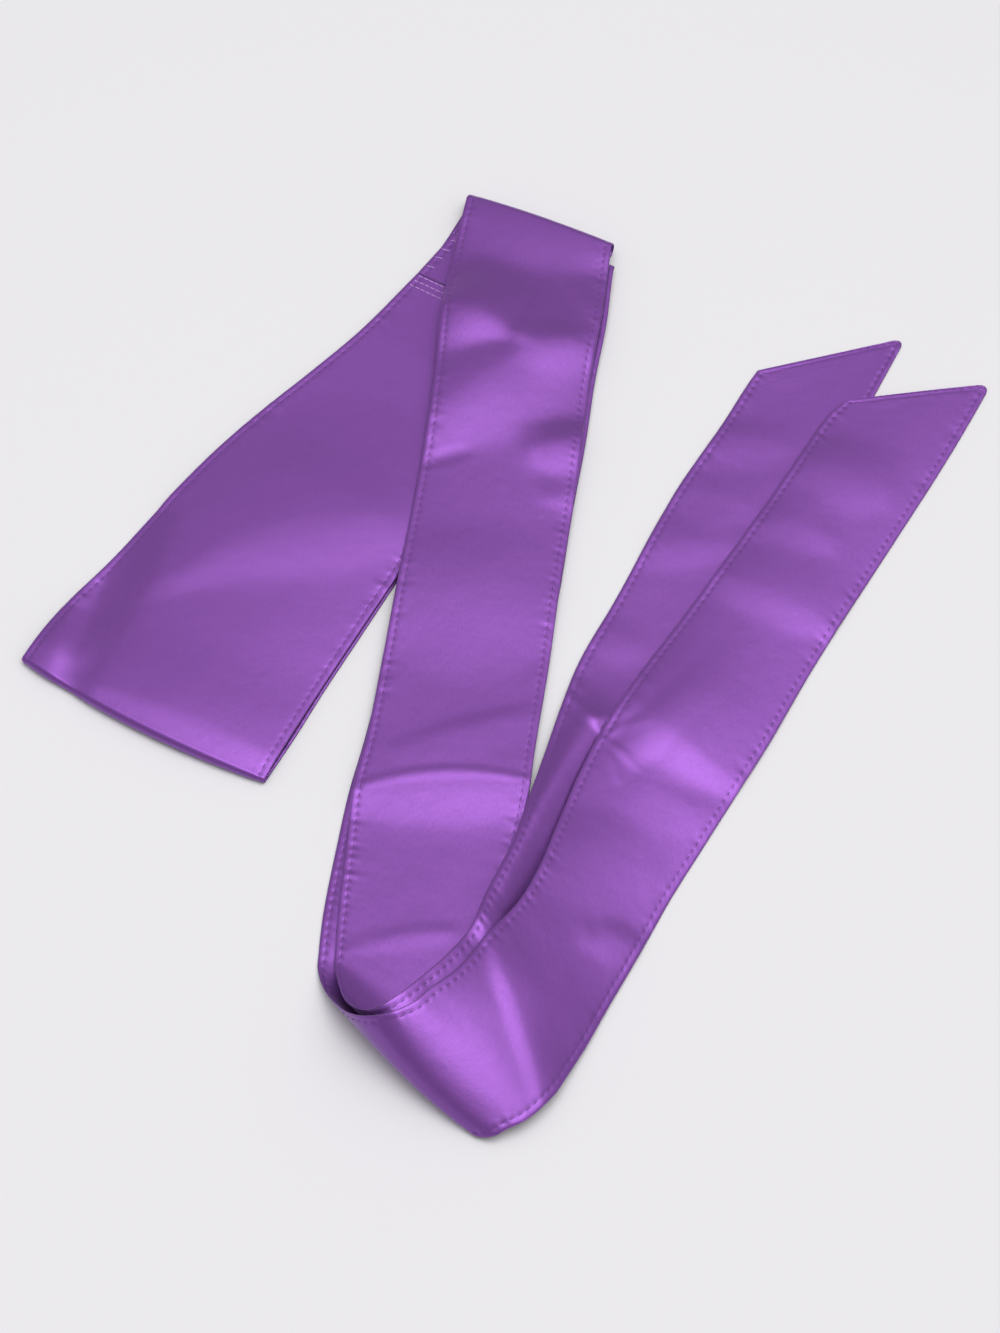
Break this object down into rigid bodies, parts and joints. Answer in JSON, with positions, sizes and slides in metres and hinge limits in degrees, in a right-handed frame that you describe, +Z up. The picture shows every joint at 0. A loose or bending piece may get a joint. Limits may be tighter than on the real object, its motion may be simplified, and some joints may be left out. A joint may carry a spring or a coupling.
{
  "type": "satin sash",
  "caption": "Long satin tie sash with a wide centre panel and a tapering tie at each end, folded in half and laid on a flat surface.",
  "frame": {"origin": "middle of the footprint, on the surface that the sash lies on", "axes": "+Z up from the surface, +Y towards the top fold and away from the viewer, +X towards the tie ends"},
  "size_m": [0.4114, 0.4652, 0.0295],
  "materials": {
    "satin": "glossy purple polyester satin, woven"
  },
  "bodies": {
    "root": {"panel_upper": "satin", "panel_lower": "satin", "tie_a_root": "satin", "tie_a_descending": "satin", "tie_a_roll": "satin", "tie_a_outgoing": "satin", "tie_b_root": "satin", "tie_b_descending": "satin", "tie_b_roll": "satin", "tie_b_outgoing": "satin"}
  },
  "joints": []
}
